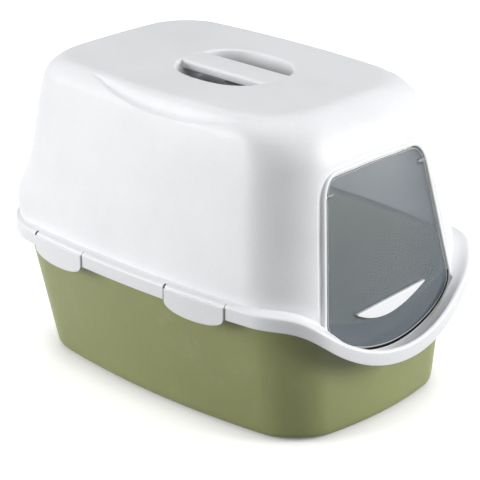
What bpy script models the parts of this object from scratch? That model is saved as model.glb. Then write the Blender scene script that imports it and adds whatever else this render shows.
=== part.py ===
"""Hooded cat litter box: a tray, a lift-off hood with a carry handle, a swing door and four side clips.

Units are metres. X is the width, -Y is the front with the door, +Z is up. The origin is the centre of
the footprint, at the height of the feet's soles. Every shell is a loft of bowed, rounded rectangles.
"""

import math
from collections import namedtuple

import bmesh
import bpy
from mathutils import Matrix, Vector

# ---------------------------------------------------------------- driving dimensions
LENGTH = 0.567                 # overall, along Y
WIDTH = 0.400                  # overall, along X
HEIGHT = 0.395                 # overall, along Z
GAP = 0.0003                   # air between neighbouring pieces
WALL = 0.0025                  # moulded wall thickness of tray and hood

# Rim of the hood: a vertical skirt that overlaps the tray, and dips in front of the door.
SKIRT_BOTTOM = 0.1665
SKIRT_HEIGHT = 0.0190
SKIRT_DIP_BOTTOM = 0.0920
SKIRT_DIP_RADIUS = 0.190
SKIRT_DIP_SHARPNESS = 80.0     # the higher, the tighter the bend from the level edge into the dip
SKIRT_CHAMFER = 0.0028
SHELF_HEIGHT = 0.191           # foot of the hood's wall, along the sides
LIP_FOOT_RISE = 0.006          # foot of the front wall above the dipped skirt's lower edge
TROUGH_SHARE = 0.55            # place of the channel between skirt and wall
TROUGH_SIDE_DEPTH = 0.0006
TROUGH_FRONT_DEPTH = 0.0045    # added where the skirt dips

# Front wall and door share one plane, leaning back by LEAN from a line at DOOR_REF_Z.
LEAN = math.radians(9.0)
DOOR_REF_Y = -0.2437
DOOR_REF_Z = 0.190
DOOR_THICK = 0.0022
DOOR_CLEARANCE = 0.0020
FRAME_WIDTH = 0.0045
FRAME_BACK = -0.0032
FRAME_FRONT = 0.0015
OPENING_BACK = -0.014          # the doorway's cutter reaches from here
OPENING_FRONT = 0.006          # to here
HINGE_Z = 0.308
PIN_RADIUS = 0.0018
PIN_INSIDE = 0.0125            # length of a pin inside the door's edge
PIN_ROOT = 0.0012              # and past the frame, in the hood
PIN_BORE = 0.016
PIN_END_AIR = 0.0008           # air past a pin's end in its bore
KNUCKLE_RADIUS = 0.0036
KNUCKLE_LENGTH = 0.012
KNUCKLE_INSET = 0.0016
KNUCKLE_BORE = 0.020

# Grip on the door: a half-moon, straight side up and slightly slanted.
GRIP_THICK = 0.0050
GRIP_HALF_X = 0.062
GRIP_TOP = 0.1625
GRIP_SLANT = 0.0030            # rise of the right end, fall of the left one
GRIP_DEPTH = 0.0190
GRIP_TIP = 0.0015              # thickness at both ends

# Carry handle: a bridge across an oval well in the hood's top.
WELL_Y = 0.0075
WELL_HALF_X = 0.0625
WELL_HALF_Y = 0.073
WELL_SQUARENESS = 2.5          # 2 is an ellipse; more is squarer
WELL_DEPTH = 0.030
BRIDGE_HALF_X = 0.0220
BRIDGE_THICK = 0.0085
BRIDGE_SUNK = 0.0006           # the bar lies this far below the hood's top
BRIDGE_EDGE = 0.0015
BRIDGE_REACH = 0.0018          # length of the bar's root inside the well's wall
WELL_PROFILE = [(0.0, 0.0), (0.0020, 0.0020), (0.0060, 0.016), (0.0140, WELL_DEPTH)]     # inset, depth
VENT_HALF_WIDTH = 0.0022
VENT_XS = (-0.034, -0.017, 0.0, 0.017, 0.034)
VENT_HALF_LENGTH = 0.042       # of the middle slot
VENT_TAPER = 0.5               # a slot loses this share of its distance from the middle
VENT_BELOW = 0.006
VENT_ABOVE = 0.004

# Tray: the rim flange lies under the hood's shelf; its front edge dips behind the door.
TRAY_TOP = 0.1830
TRAY_SILL = 0.1420
TRAY_SILL_RADIUS = 0.31
TRAY_SILL_SHARPNESS = 150.0
TRAY_FLANGE_FALL = 0.0006      # the flange's outer edge lies this much lower
TRAY_FILLET = 0.003
TRAY_FILLET_SHARE = 0.22
FOOT_HEIGHT = 0.0030
FOOT_RADIUS = 0.0085
FOOT_X = 0.119
FOOT_Y = 0.187

# Side clips, two on each long side.
CLIP_LENGTH = 0.092
CLIP_SLIT = 0.0012
CLIP_DROP = 0.0135             # how far a clip hangs below the skirt
CLIP_CENTRES = {"front": -0.113, "rear": 0.1265}
CLIP_SQUARENESS = 2.2
CLIP_STEPS = 14
NOTCH_HALF_DEPTH = 0.006
NOTCH_BELOW = 0.02

WHITE = (0.86, 0.87, 0.88)
GREEN = (0.31, 0.35, 0.17)
SMOKE = (0.20, 0.22, 0.24)
BLACK = (0.03, 0.03, 0.03)
DARK_RUBBER = (0.07, 0.05, 0.04)

Section = namedtuple("Section", "half_width front rear r_front r_rear bow_side bow_front bow_rear")

# Points round half an outline: rear edge, rear corner, side, front corner, front edge.
COUNTS = (6, 5, 9, 5, 10)


# ---------------------------------------------------------------- outlines
def bezier(p0, p1, p2, p3, t):
    s = 1.0 - t
    return p0 * s ** 3 + p1 * (3 * s * s * t) + p2 * (3 * s * t * t) + p3 * t ** 3


def edge_point_x(section, y):
    """X of the bowed side at Y."""
    low = section.front + section.bow_front
    high = section.rear - section.bow_rear
    t = (y - low) / (high - low)
    return section.half_width - section.bow_side * (2.0 * t - 1.0) ** 2


def corner_curve(start, start_dir, end, end_dir, radius, count):
    reach = 0.55 * radius
    first = start + start_dir.normalized() * reach
    second = end - end_dir.normalized() * reach
    return [bezier(start, first, second, end, i / count) for i in range(count)]


def half_outline(section, counts=COUNTS):
    """Points from the middle of the rear, round the +X side, to the middle of the front."""
    n_rear, n_rear_corner, n_side, n_front_corner, n_front = counts
    corner_x = section.half_width - section.bow_side
    rear_y = section.rear - section.bow_rear
    front_y = section.front + section.bow_front
    span = rear_y - front_y

    def rear_edge(x):
        return Vector((x, section.rear - section.bow_rear * (x / corner_x) ** 2))

    def front_edge(x):
        return Vector((x, section.front + section.bow_front * (x / corner_x) ** 2))

    def side_edge(y):
        return Vector((edge_point_x(section, y), y))

    def side_direction(y):
        t = (y - front_y) / span
        return Vector((4.0 * section.bow_side * (2.0 * t - 1.0) / span, -1.0))

    rear_x = corner_x - section.r_rear
    front_x = corner_x - section.r_front
    top_y = rear_y - section.r_rear
    low_y = front_y + section.r_front
    points = [rear_edge(rear_x * i / n_rear) for i in range(n_rear)]
    rear_slope = Vector((1.0, -2.0 * section.bow_rear * rear_x / corner_x ** 2))
    points += corner_curve(rear_edge(rear_x), rear_slope, side_edge(top_y), side_direction(top_y),
                           section.r_rear, n_rear_corner)
    points += [side_edge(top_y + (low_y - top_y) * i / n_side) for i in range(n_side)]
    front_slope = Vector((-1.0, -2.0 * section.bow_front * front_x / corner_x ** 2))
    points += corner_curve(side_edge(low_y), side_direction(low_y), front_edge(front_x), front_slope,
                           section.r_front, n_front_corner)
    points += [front_edge(front_x * (1.0 - i / n_front)) for i in range(n_front + 1)]
    return points


def full_ring(half):
    """A closed ring from a half outline that starts and ends on X = 0."""
    return half + [Vector((-p[0], *p[1:])) for p in reversed(half[1:-1])]


def inset_of(section, inset):
    return section._replace(half_width=section.half_width - inset, front=section.front + inset,
                            rear=section.rear - inset)


def softmin(a, b, sharpness):
    low = min(a, b)
    return low - math.log(math.exp(-sharpness * (a - low)) + math.exp(-sharpness * (b - low))) / sharpness


DIP_LIMIT = 0.97               # share of the arc's radius past which an edge is level


def dipped(x, y, level, bottom, radius, sharpness):
    """Height of an edge that is level all round and sinks to an arc at the middle of the front."""
    if y > 0.0 or abs(x) > DIP_LIMIT * radius:
        return level
    arc = bottom + radius - math.sqrt(radius * radius - x * x)
    return softmin(arc, level, sharpness)


def skirt_bottom(x, y):
    return dipped(x, y, SKIRT_BOTTOM, SKIRT_DIP_BOTTOM, SKIRT_DIP_RADIUS, SKIRT_DIP_SHARPNESS)


def tray_edge(x, y):
    return dipped(x, y, TRAY_TOP, TRAY_SILL, TRAY_SILL_RADIUS, TRAY_SILL_SHARPNESS)


# ---------------------------------------------------------------- the hood's shape
RIM = Section(WIDTH / 2, -LENGTH / 2, LENGTH / 2, 0.055, 0.086, 0.022, 0.033, 0.0065)

# Hood wall at a few heights; between them every value is interpolated.
WALL_KEYS = [
    (0.180, dict(half_width=0.1879, rear=0.2790, r_front=0.070, r_rear=0.075, bow_side=0.0185)),
    (0.215, dict(half_width=0.1815, rear=0.2780, r_front=0.070, r_rear=0.062, bow_side=0.0155)),
    (0.240, dict(half_width=0.1768, rear=0.2695, r_front=0.070, r_rear=0.064, bow_side=0.0160)),
    (0.270, dict(half_width=0.1710, rear=0.2605, r_front=0.069, r_rear=0.063, bow_side=0.0160)),
    (0.310, dict(half_width=0.1632, rear=0.2545, r_front=0.068, r_rear=0.057, bow_side=0.0155)),
    (0.350, dict(half_width=0.1553, rear=0.2500, r_front=0.067, r_rear=0.054, bow_side=0.0145)),
    (0.370, dict(half_width=0.1510, rear=0.2450, r_front=0.066, r_rear=0.053, bow_side=0.0140)),
]
CROWN_START = 0.370
CROWN_IN_SIDE = 0.026
CROWN_IN_REAR = 0.028
FRONT_CROWN_START = 0.340
FRONT_CROWN_IN = 0.052
REAR_BOW = 0.0065
WALL_LEVELS = [0.222, 0.243, 0.270, 0.306, 0.340, 0.358, 0.372, 0.3835, 0.3915, 0.3945, HEIGHT]


def front_plane_y(z):
    return DOOR_REF_Y + (z - DOOR_REF_Z) * math.tan(LEAN)


def quarter_round(z, start):
    """0 at the start height, 1 at the top, along a quarter ellipse."""
    rise = max(0.0, min(1.0, (z - start) / (HEIGHT - start)))
    return 1.0 - math.sqrt(1.0 - rise * rise)


def wall_section(z):
    z_key = min(max(z, WALL_KEYS[0][0]), CROWN_START)
    index = 0
    while index < len(WALL_KEYS) - 2 and z_key > WALL_KEYS[index + 1][0]:
        index += 1
    (z0, low), (z1, high) = WALL_KEYS[index], WALL_KEYS[index + 1]
    t = (z_key - z0) / (z1 - z0)
    values = {key: low[key] + (high[key] - low[key]) * t for key in low}
    crown = quarter_round(z, CROWN_START)
    values["half_width"] -= CROWN_IN_SIDE * crown
    values["rear"] -= CROWN_IN_REAR * crown
    front = front_plane_y(min(z, FRONT_CROWN_START)) + FRONT_CROWN_IN * quarter_round(z, FRONT_CROWN_START)
    return Section(front=front, bow_front=0.0, bow_rear=REAR_BOW, **values)


def lift(points, heights):
    return [Vector((p.x, p.y, z)) for p, z in zip(points, heights)]


def oval_half(half_x, half_y, count):
    """Half of the handle well's outline, a squarish oval."""
    points = []
    for i in range(count):
        angle = math.pi * i / (count - 1)
        across = max(0.0, math.sin(angle)) ** (2.0 / WELL_SQUARENESS)
        along = math.copysign(abs(math.cos(angle)) ** (2.0 / WELL_SQUARENESS), math.cos(angle))
        points.append(Vector((half_x * across, WELL_Y + half_y * along)))
    return points


def wall_ring(heights):
    """The wall's half outline where each of its points has a height of its own."""
    return [half_outline(wall_section(z))[i] for i, z in enumerate(heights)]


def hood_rings():
    """Half rings of the hood's outer face: skirt, shelf or lip, wall, crown, top and handle well."""
    rim = half_outline(RIM)
    bottoms = [skirt_bottom(p.x, p.y) for p in rim]
    dips = [(SKIRT_BOTTOM - z) / (SKIRT_BOTTOM - SKIRT_DIP_BOTTOM) for z in bottoms]
    shelf = SHELF_HEIGHT - SKIRT_BOTTOM
    feet = [z + shelf + (LIP_FOOT_RISE - shelf) * dip for z, dip in zip(bottoms, dips)]
    foot = wall_ring(feet)

    edge = half_outline(inset_of(RIM, SKIRT_CHAMFER))
    edge_z = [z + SKIRT_HEIGHT for z in bottoms]
    rings = [lift(rim, bottoms), lift(rim, [z + SKIRT_HEIGHT - SKIRT_CHAMFER for z in bottoms]),
             lift(edge, edge_z)]
    trough = [outer.lerp(inner, TROUGH_SHARE) for outer, inner in zip(edge, foot)]
    trough_z = [top + (low - top) * TROUGH_SHARE - TROUGH_FRONT_DEPTH * dip - TROUGH_SIDE_DEPTH
                for top, low, dip in zip(edge_z, feet, dips)]
    rings.append(lift(trough, trough_z))
    rings.append(lift(foot, feet))
    middle_z = [(z + WALL_LEVELS[0]) / 2 for z in feet]
    rings.append(lift(wall_ring(middle_z), middle_z))
    count = len(rim)
    for z in WALL_LEVELS:
        rings.append(lift(half_outline(wall_section(z)), [z] * count))
    for inset, depth in WELL_PROFILE:
        oval = oval_half(WELL_HALF_X - inset, WELL_HALF_Y - inset, count)
        rings.append(lift(oval, [HEIGHT - depth] * count))
    return rings


# ---------------------------------------------------------------- the tray's shape
TRAY_LOW = Section(0.157, -0.2410, 0.2384, 0.045, 0.054, 0.0216, 0.0183, 0.0067)
TRAY_HIGH = Section(0.1800, -0.2385, 0.2700, 0.0540, 0.068, 0.0210, 0.0065, 0.0067)
TRAY_FLANGE = Section(0.1945, -0.2480, 0.2785, 0.0800, 0.080, 0.0220, 0.0095, 0.0065)
TRAY_WALL_START = 0.012
TRAY_FOOT_PROFILE = [(0.0110, 0.0), (0.0040, 0.0018), (0.0, TRAY_WALL_START - FOOT_HEIGHT)]     # inset, rise


def blend_sections(a, b, t):
    return Section(*(p + (q - p) * t for p, q in zip(a, b)))


def tray_rings():
    """Half rings of the tray's outer face: floor, rounded foot of the wall, wall and rim flange."""
    rings = []
    for inset, rise in TRAY_FOOT_PROFILE:
        half = half_outline(inset_of(TRAY_LOW, inset))
        rings.append(lift(half, [FOOT_HEIGHT + rise] * len(half)))
    top = half_outline(TRAY_HIGH)
    edges = [tray_edge(p.x, p.y) for p in top]
    for share in (0.33, 0.66):
        half = half_outline(blend_sections(TRAY_LOW, TRAY_HIGH, share))
        rings.append(lift(half, [TRAY_WALL_START + (z - TRAY_WALL_START) * share for z in edges]))
    under = [z - WALL for z in edges]
    rings.append(lift(top, [z - TRAY_FILLET for z in under]))
    fillet = half_outline(blend_sections(TRAY_HIGH, TRAY_FLANGE, TRAY_FILLET_SHARE))
    rings.append(lift(fillet, under))
    rings.append(lift(half_outline(TRAY_FLANGE), [z - TRAY_FLANGE_FALL for z in under]))
    return rings


# ---------------------------------------------------------------- object helpers
def clear_scene():
    for item in list(bpy.data.objects):
        bpy.data.objects.remove(item, do_unlink=True)


def make_collection(name):
    collection = bpy.data.collections.new(name)
    bpy.context.scene.collection.children.link(collection)
    return collection


def make_material(name, colour, roughness, alpha=1.0):
    material = bpy.data.materials.new(name)
    material.use_nodes = True
    shader = material.node_tree.nodes["Principled BSDF"]
    shader.inputs["Base Color"].default_value = (*colour, 1.0)
    shader.inputs["Roughness"].default_value = roughness
    shader.inputs["Metallic"].default_value = 0.0
    shader.inputs["Alpha"].default_value = alpha
    return material


def add_object(name, mesh, collection, material=None):
    item = bpy.data.objects.new(name, mesh)
    collection.objects.link(item)
    mesh.shade_smooth()
    mesh.set_sharp_from_angle(angle=math.radians(30.0))
    if material is not None:
        mesh.materials.append(material)
    return item


def loft(name, half_rings, cap_last, cap_first=False):
    """A surface through rings that run round the piece, with a flat face on a closed end."""
    mesh = bpy.data.meshes.new(name)
    build = bmesh.new()
    rings = [[build.verts.new(p) for p in full_ring(half)] for half in half_rings]
    count = len(rings[0])
    for lower, upper in zip(rings, rings[1:]):
        for i in range(count):
            j = (i + 1) % count
            build.faces.new((lower[i], upper[i], upper[j], lower[j]))
    if cap_last:
        build.faces.new(rings[-1][::-1])
    if cap_first:
        build.faces.new(rings[0])
    build.to_mesh(mesh)
    build.free()
    return mesh


def plate(name, outline, back, front, place, collection, material=None):
    """A flat plate with the outline's shape: its face lies at front, its thickness goes to back."""
    mesh = bpy.data.meshes.new(name)
    mesh.from_pydata([place(u, v, front) for u, v in reversed(outline)], [], [range(len(outline))])
    item = add_object(name, mesh, collection, material)
    solidify(item, front - back)
    return item


def box_mesh(name, low, high, bevel=0.0, only_along_y=False):
    mesh = bpy.data.meshes.new(name)
    build = bmesh.new()
    bmesh.ops.create_cube(build, size=1.0)
    size = Vector(high) - Vector(low)
    centre = (Vector(high) + Vector(low)) / 2
    bmesh.ops.scale(build, vec=size, verts=build.verts)
    bmesh.ops.translate(build, vec=centre, verts=build.verts)
    if bevel > 0.0:
        edges = [e for e in build.edges if not only_along_y or e.verts[0].co.y != e.verts[1].co.y]
        bmesh.ops.bevel(build, geom=edges, offset=bevel, segments=2, profile=0.5, affect="EDGES")
    build.to_mesh(mesh)
    build.free()
    return mesh


def cylinder_mesh(name, radius, length, axis, centre, segments=20):
    """A cylinder along X or Z."""
    mesh = bpy.data.meshes.new(name)
    build = bmesh.new()
    bmesh.ops.create_cone(build, cap_ends=True, segments=segments, radius1=radius, radius2=radius,
                          depth=length)
    if axis == "X":
        bmesh.ops.rotate(build, matrix=Matrix.Rotation(math.pi / 2, 3, "Y"), verts=build.verts)
    bmesh.ops.translate(build, vec=centre, verts=build.verts)
    build.to_mesh(mesh)
    build.free()
    return mesh


def solidify(item, thickness):
    modifier = item.modifiers.new("wall", "SOLIDIFY")
    modifier.thickness = thickness
    modifier.offset = -1.0
    modifier.use_even_offset = True
    modifier.use_quality_normals = True


def boolean(item, tool, operation):
    modifier = item.modifiers.new(operation.lower(), "BOOLEAN")
    modifier.operation = operation
    modifier.solver = "EXACT"
    modifier.object = tool


def as_tool(item):
    item.hide_render = True
    item.display_type = "WIRE"
    return item


# ---------------------------------------------------------------- the door's plane
def on_door_plane(x, z, out):
    """A point of the front plane at X and height Z, moved out of the plane along its normal."""
    return Vector((x, front_plane_y(z) - out * math.cos(LEAN), z + out * math.sin(LEAN)))


DOOR_TOP = 0.3285
DOOR_BOTTOM = 0.1070
DOOR_HALF_TOP = 0.0880
DOOR_HALF_WIDE = 0.1095
DOOR_CORNER_Z = 0.301
DOOR_WIDE_Z = 0.163
DOOR_SHOULDER = 0.76           # share of the top's half width that is straight
DOOR_SHOULDER_FALL = 0.0015
DOOR_CORNER_REACH = 0.013      # handles of the curve round the upper corner
DOOR_CORNER_PULL = 0.015
DOOR_LOWER_PULL = 0.030        # handles of the curve under the door
DOOR_BOTTOM_REACH = 0.052


def door_half(grow=0.0):
    """Half of the door's outline in (x, z), from the middle of the top to the middle of the bottom."""
    top = Vector((0.0, DOOR_TOP + grow))
    shoulder = Vector((DOOR_HALF_TOP * DOOR_SHOULDER, DOOR_TOP - DOOR_SHOULDER_FALL + grow))
    corner = Vector((DOOR_HALF_TOP + grow, DOOR_CORNER_Z))
    wide = Vector((DOOR_HALF_WIDE + grow, DOOR_WIDE_Z))
    bottom = Vector((0.0, DOOR_BOTTOM - grow))
    down = (wide - corner).normalized()
    points = [top.lerp(shoulder, i / 4) for i in range(4)]
    reach = Vector((DOOR_CORNER_REACH + grow / 2, 0.0))
    pull = down * DOOR_CORNER_PULL
    points += [bezier(shoulder, shoulder + reach, corner - pull, corner, i / 7) for i in range(7)]
    points += [corner.lerp(wide, i / 6) for i in range(6)]
    swing = down * DOOR_LOWER_PULL
    under = Vector((DOOR_BOTTOM_REACH, 0.0))
    points += [bezier(wide, wide + swing, bottom + under, bottom, i / 14) for i in range(15)]
    return points


def mirrored_loop(half):
    return [tuple(p) for p in half] + [(-p[0], p[1]) for p in reversed(half[1:-1])]


def grip_outline():
    """A half-moon with its straight side up, following the sill behind the door."""
    count = 12
    upper = []
    lower = []
    for i in range(count + 1):
        share = 2.0 * i / count - 1.0
        x = GRIP_HALF_X * share
        z = GRIP_TOP + GRIP_SLANT * share
        upper.append((x, z))
        lower.append((x, z - GRIP_TIP - (GRIP_DEPTH - GRIP_TIP) * (1.0 - share * share)))
    return upper + lower[::-1]


# ---------------------------------------------------------------- pieces
def make_tray(parts, material):
    tray = add_object("tray", loft("tray", tray_rings(), False, True), parts, material)
    solidify(tray, WALL)
    return tray


def make_bridge(tools):
    """The handle's bar, along Y across the well."""
    reach = WELL_HALF_Y + BRIDGE_REACH
    top = HEIGHT - BRIDGE_SUNK
    bar = box_mesh("bridge_bar", (-BRIDGE_HALF_X, WELL_Y - reach, top - BRIDGE_THICK),
                   (BRIDGE_HALF_X, WELL_Y + reach, top), BRIDGE_EDGE, only_along_y=True)
    return as_tool(add_object("bridge_bar", bar, tools))


def frame_ring_mesh():
    """The raised frame round the door opening."""
    inner = mirrored_loop(door_half(DOOR_CLEARANCE))
    outer = mirrored_loop(door_half(DOOR_CLEARANCE + FRAME_WIDTH))
    mesh = bpy.data.meshes.new("door_frame")
    build = bmesh.new()
    count = len(inner)
    loops = []
    corners = ((inner, FRAME_BACK), (inner, FRAME_FRONT), (outer, FRAME_FRONT), (outer, FRAME_BACK))
    for outline, out in corners:
        loops.append([build.verts.new(on_door_plane(x, z, out)) for x, z in outline])
    for a, b in zip(loops, loops[1:] + loops[:1]):
        for i in range(count):
            j = (i + 1) % count
            build.faces.new((a[i], a[j], b[j], b[i]))
    bmesh.ops.recalc_face_normals(build, faces=build.faces)
    build.to_mesh(mesh)
    build.free()
    return mesh


def hinge_axis():
    """A point of the door's hinge line, at mid-thickness of the door."""
    return on_door_plane(0.0, HINGE_Z, -DOOR_THICK / 2 - GAP)


def pin_start():
    return DOOR_HALF_TOP - PIN_INSIDE


def pin_end():
    return DOOR_HALF_TOP + DOOR_CLEARANCE + FRAME_WIDTH + PIN_ROOT


def clip_frame(side, centre_y):
    """Middle of a clip on the rim, and the rim's direction there."""
    x = edge_point_x(RIM, centre_y)
    step = 0.001
    slope = (edge_point_x(RIM, centre_y + step) - edge_point_x(RIM, centre_y - step)) / (2 * step)
    return Vector((side * x, centre_y, 0.0)), Vector((side * slope, 1.0, 0.0)).normalized()


CLIP_TOP = SKIRT_BOTTOM + SKIRT_HEIGHT - SKIRT_CHAMFER - 0.0002


def cut_clip_notch(hood, name, side, centre_y, tools):
    """The notch in the skirt that a clip fills, with a slit at each end."""
    middle, along = clip_frame(side, centre_y)
    half = CLIP_LENGTH / 2 + CLIP_SLIT
    notch = box_mesh(name, (-NOTCH_HALF_DEPTH, -half, SKIRT_BOTTOM - NOTCH_BELOW),
                     (NOTCH_HALF_DEPTH, half, CLIP_TOP + GAP))
    item = as_tool(add_object(name, notch, tools))
    item.location = middle
    item.rotation_euler = (0.0, 0.0, math.atan2(along.y, along.x) - math.pi / 2)
    boolean(hood, item, "DIFFERENCE")


def cut_vents(hood, tools):
    """Slots in the well's floor that let air up through the filter."""
    floor_z = HEIGHT - WELL_DEPTH
    for index, x in enumerate(VENT_XS):
        name = "vent_slot_%d" % index
        reach = VENT_HALF_LENGTH - VENT_TAPER * abs(x)
        slot = box_mesh(name, (x - VENT_HALF_WIDTH, WELL_Y - reach, floor_z - VENT_BELOW),
                        (x + VENT_HALF_WIDTH, WELL_Y + reach, floor_z + VENT_ABOVE))
        boolean(hood, as_tool(add_object(name, slot, tools)), "DIFFERENCE")


def make_hood(parts, tools, material):
    hood = add_object("hood", loft("hood", hood_rings(), True), parts, material)
    solidify(hood, WALL)
    opening = mirrored_loop(door_half(DOOR_CLEARANCE + FRAME_WIDTH / 2))
    cutter = plate("door_opening", opening, OPENING_BACK, OPENING_FRONT, on_door_plane, tools)
    boolean(hood, as_tool(cutter), "DIFFERENCE")
    boolean(hood, as_tool(add_object("door_frame", frame_ring_mesh(), tools)), "UNION")
    boolean(hood, make_bridge(tools), "UNION")
    axis = hinge_axis()
    for side, label in ((-1, "left"), (1, "right")):
        bore_end = pin_end() + PIN_END_AIR
        bore = cylinder_mesh("pin_bore_" + label, PIN_RADIUS + GAP, PIN_BORE, "X",
                             axis + Vector((side * (bore_end - PIN_BORE / 2), 0, 0)))
        boolean(hood, as_tool(add_object("pin_bore_" + label, bore, tools)), "DIFFERENCE")
    for side, side_name in ((-1, "left"), (1, "right")):
        for end_name, centre_y in CLIP_CENTRES.items():
            cut_clip_notch(hood, "clip_notch_" + end_name + "_" + side_name, side, centre_y, tools)
    cut_vents(hood, tools)
    return hood


def make_door(parts, tools, material):
    """The flap, with a knuckle at each upper corner that turns on a hinge pin."""
    outline = mirrored_loop(door_half())
    door = plate("door", outline, -DOOR_THICK - GAP, -GAP, on_door_plane, parts, material)
    axis = hinge_axis()
    for side, label in ((-1, "left"), (1, "right")):
        centre = axis + Vector((side * (DOOR_HALF_TOP - KNUCKLE_INSET - KNUCKLE_LENGTH / 2), 0, 0))
        knuckle = cylinder_mesh("knuckle_" + label, KNUCKLE_RADIUS, KNUCKLE_LENGTH, "X", centre)
        boolean(door, as_tool(add_object("knuckle_" + label, knuckle, tools)), "UNION")
        bore_centre = axis + Vector((side * (pin_start() - GAP + KNUCKLE_BORE / 2), 0, 0))
        bore = cylinder_mesh("knuckle_bore_" + label, PIN_RADIUS + GAP, KNUCKLE_BORE, "X", bore_centre)
        boolean(door, as_tool(add_object("knuckle_bore_" + label, bore, tools)), "DIFFERENCE")
    return door


def make_grip(parts, material):
    return plate("door_grip", grip_outline(), 0.0, GRIP_THICK, on_door_plane, parts, material)


def make_pins(parts, material):
    axis = hinge_axis()
    length = pin_end() - pin_start()
    pins = []
    for side, label in ((-1, "left"), (1, "right")):
        centre = axis + Vector((side * (pin_start() + length / 2), 0, 0))
        mesh = cylinder_mesh("hinge_pin_" + label, PIN_RADIUS, length, "X", centre, 16)
        pins.append(add_object("hinge_pin_" + label, mesh, parts, material))
    return pins


def make_clip(name, side, centre_y, parts, material):
    """A D-shaped tab that continues the skirt's face downwards."""
    count = CLIP_STEPS
    top = []
    low = []
    for i in range(count + 1):
        share = side * (2.0 * i / count - 1.0)
        y = centre_y + share * CLIP_LENGTH / 2
        x = side * edge_point_x(RIM, y)
        drop = CLIP_DROP * math.sqrt(max(0.0, 1.0 - abs(share) ** CLIP_SQUARENESS))
        top.append((x, y, CLIP_TOP))
        low.append((x, y, SKIRT_BOTTOM - drop))
    mesh = bpy.data.meshes.new(name)
    faces = [(count + 1 + i, count + 2 + i, i + 1, i) for i in range(count)]
    mesh.from_pydata(top + low, [], faces)
    clip = add_object(name, mesh, parts, material)
    solidify(clip, WALL)
    return clip


FILTER_HALF_X = 0.044
FILTER_HALF_Y = 0.050
FILTER_THICK = 0.008
FILTER_EDGE = 0.0012
FILTER_SIDE_AIR = 0.0008       # between the pad and the cover's walls
FILTER_AIR = 0.0004            # above and below the pad
COVER_WALL = 0.002
COVER_SLOTS = 6
COVER_SLOT_PITCH = 0.015
COVER_SLOT_HALF_X = 0.036
COVER_SLOT_HALF_Y = 0.0035
CUT_OVER = 0.002               # a cutter passes a face by this much


def make_filter(parts, tools, pad_material, cover_material):
    """A charcoal pad under the vented floor of the handle well, in a slotted drop-down cover."""
    roof = HEIGHT - WELL_DEPTH - WALL - GAP
    pad = box_mesh("filter_pad", (-FILTER_HALF_X, WELL_Y - FILTER_HALF_Y, roof - FILTER_THICK),
                   (FILTER_HALF_X, WELL_Y + FILTER_HALF_Y, roof - FILTER_AIR), FILTER_EDGE)
    felt = add_object("filter_pad", pad, parts, pad_material)
    margin = COVER_WALL + FILTER_SIDE_AIR
    low_z = roof - FILTER_THICK - FILTER_AIR - COVER_WALL
    outer = box_mesh("filter_cover", (-FILTER_HALF_X - margin, WELL_Y - FILTER_HALF_Y - margin, low_z),
                     (FILTER_HALF_X + margin, WELL_Y + FILTER_HALF_Y + margin, roof))
    cover = add_object("filter_cover", outer, parts, cover_material)
    half_x = FILTER_HALF_X + FILTER_SIDE_AIR
    half_y = FILTER_HALF_Y + FILTER_SIDE_AIR
    pocket = box_mesh("filter_pocket", (-half_x, WELL_Y - half_y, low_z + COVER_WALL),
                      (half_x, WELL_Y + half_y, roof + CUT_OVER))
    boolean(cover, as_tool(add_object("filter_pocket", pocket, tools)), "DIFFERENCE")
    for index in range(COVER_SLOTS):
        name = "cover_slot_%d" % index
        y = WELL_Y + (index - (COVER_SLOTS - 1) / 2) * COVER_SLOT_PITCH
        slot = box_mesh(name, (-COVER_SLOT_HALF_X, y - COVER_SLOT_HALF_Y, low_z - CUT_OVER),
                        (COVER_SLOT_HALF_X, y + COVER_SLOT_HALF_Y, low_z + COVER_WALL + CUT_OVER))
        boolean(cover, as_tool(add_object(name, slot, tools)), "DIFFERENCE")
    hinge = (0.0, WELL_Y + FILTER_HALF_Y + margin, roof)
    return hang_on("filter_hinge", hinge, (cover, felt), parts)


def hang_on(name, place, items, parts):
    """An empty on a joint's axis, with the pieces that move about it."""
    empty = bpy.data.objects.new(name, None)
    parts.objects.link(empty)
    empty.empty_display_size = 0.02
    empty.location = place
    for item in items:
        item.parent = empty
        item.matrix_parent_inverse = Matrix.Translation(-Vector(place))
    return empty


def make_feet(parts, material):
    for side, side_name in ((-1, "left"), (1, "right")):
        for y, end_name in ((-FOOT_Y, "front"), (FOOT_Y, "rear")):
            name = "foot_" + end_name + "_" + side_name
            height = FOOT_HEIGHT - GAP
            centre = Vector((side * FOOT_X, y, height / 2))
            add_object(name, cylinder_mesh(name, FOOT_RADIUS, height, "Z", centre, 20), parts, material)


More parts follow.
